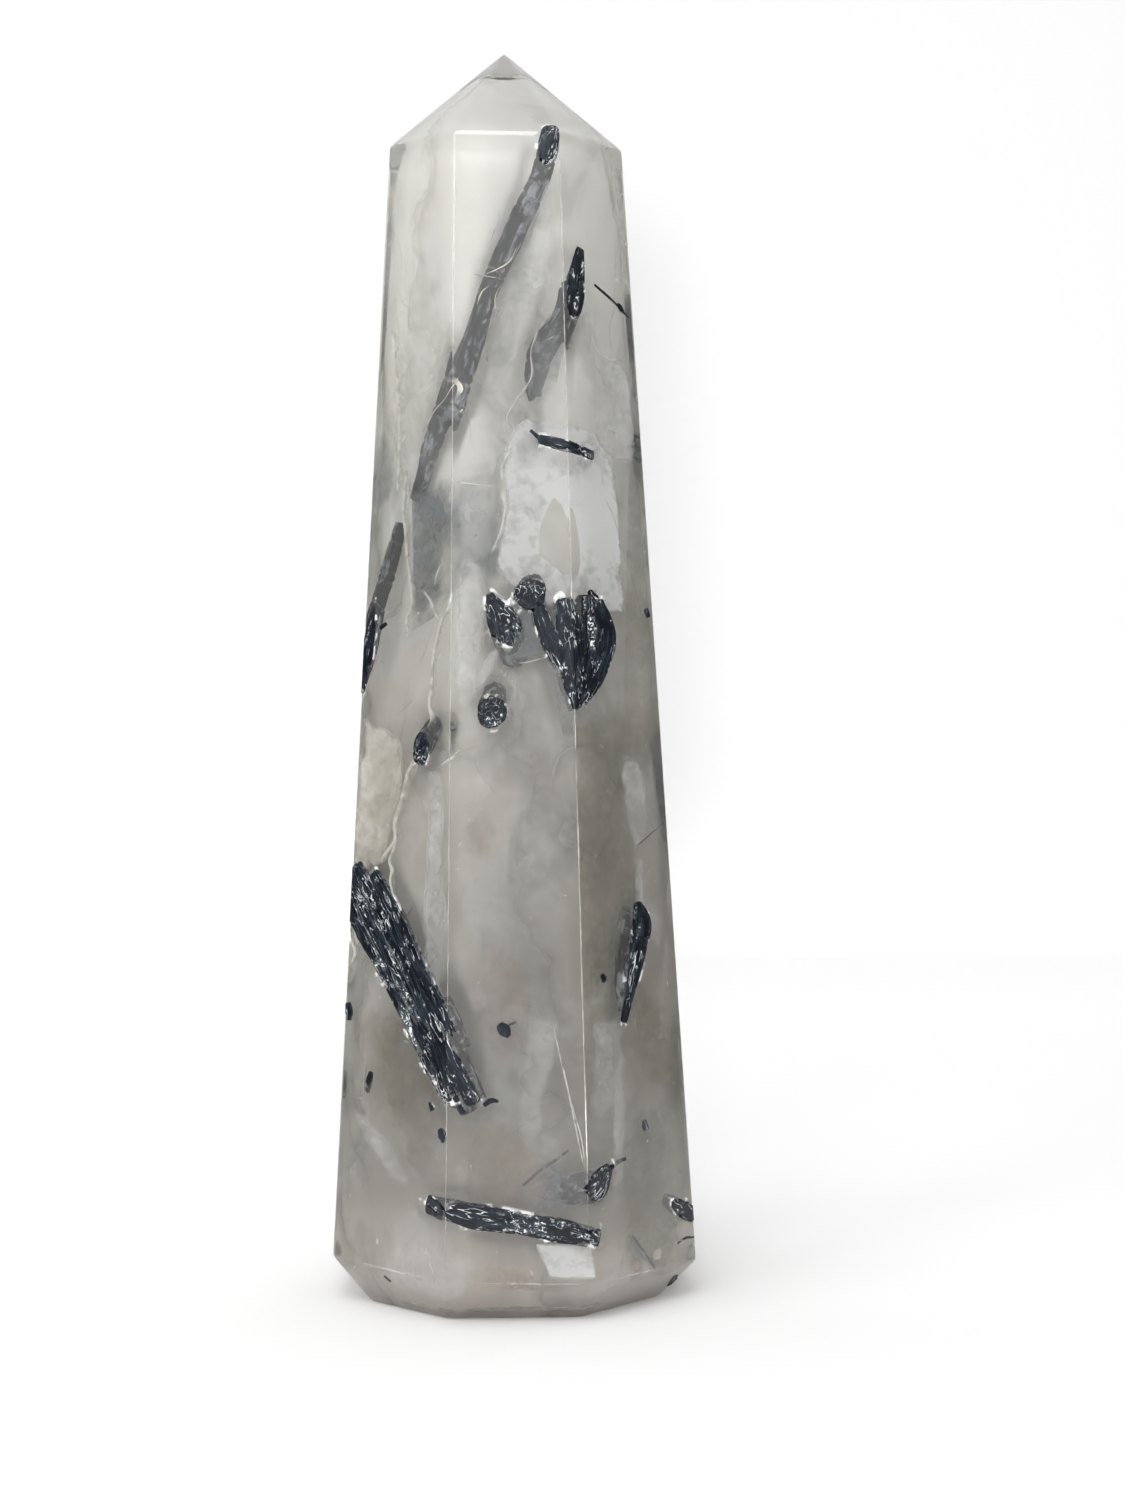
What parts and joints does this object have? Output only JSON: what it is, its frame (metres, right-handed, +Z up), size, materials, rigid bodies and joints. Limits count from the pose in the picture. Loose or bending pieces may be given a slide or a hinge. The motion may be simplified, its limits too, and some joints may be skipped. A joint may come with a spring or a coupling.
{
  "type": "polished quartz obelisk with black tourmaline inclusions",
  "caption": "Standing decorative stone: a tapering faceted tower of milky quartz with a pointed top, a bevelled foot and black crystals grown through it.",
  "frame": {"origin": "middle of the flat base, on the surface that the stone stands on", "axes": "+Z up towards the point, -Y out of the front face, +X to the right of the front face"},
  "size_m": [0.0344, 0.0344, 0.12],
  "materials": {
    "quartz": "polished",
    "tourmaline": "gloss"
  },
  "bodies": {
    "root": {"quartz_obelisk": "quartz", "tourmaline_long_rod": "tourmaline", "tourmaline_left_rod": "tourmaline", "tourmaline_right_rod": "tourmaline", "tourmaline_upper_bar": "tourmaline", "tourmaline_teardrop_stub": "tourmaline", "tourmaline_cluster": "tourmaline", "tourmaline_small_stub": "tourmaline", "tourmaline_edge_stub": "tourmaline", "tourmaline_bundle": "tourmaline", "tourmaline_blade": "tourmaline", "tourmaline_base_bar": "tourmaline", "tourmaline_wedge": "tourmaline", "tourmaline_corner_stub": "tourmaline", "tourmaline_right_rod_low": "tourmaline", "tourmaline_right_stub": "tourmaline", "tourmaline_back_right_blade": "tourmaline", "tourmaline_back_rod": "tourmaline", "tourmaline_back_stub": "tourmaline", "tourmaline_back_bundle": "tourmaline", "tourmaline_back_left_bar": "tourmaline", "tourmaline_left_stub": "tourmaline"}
  },
  "joints": []
}
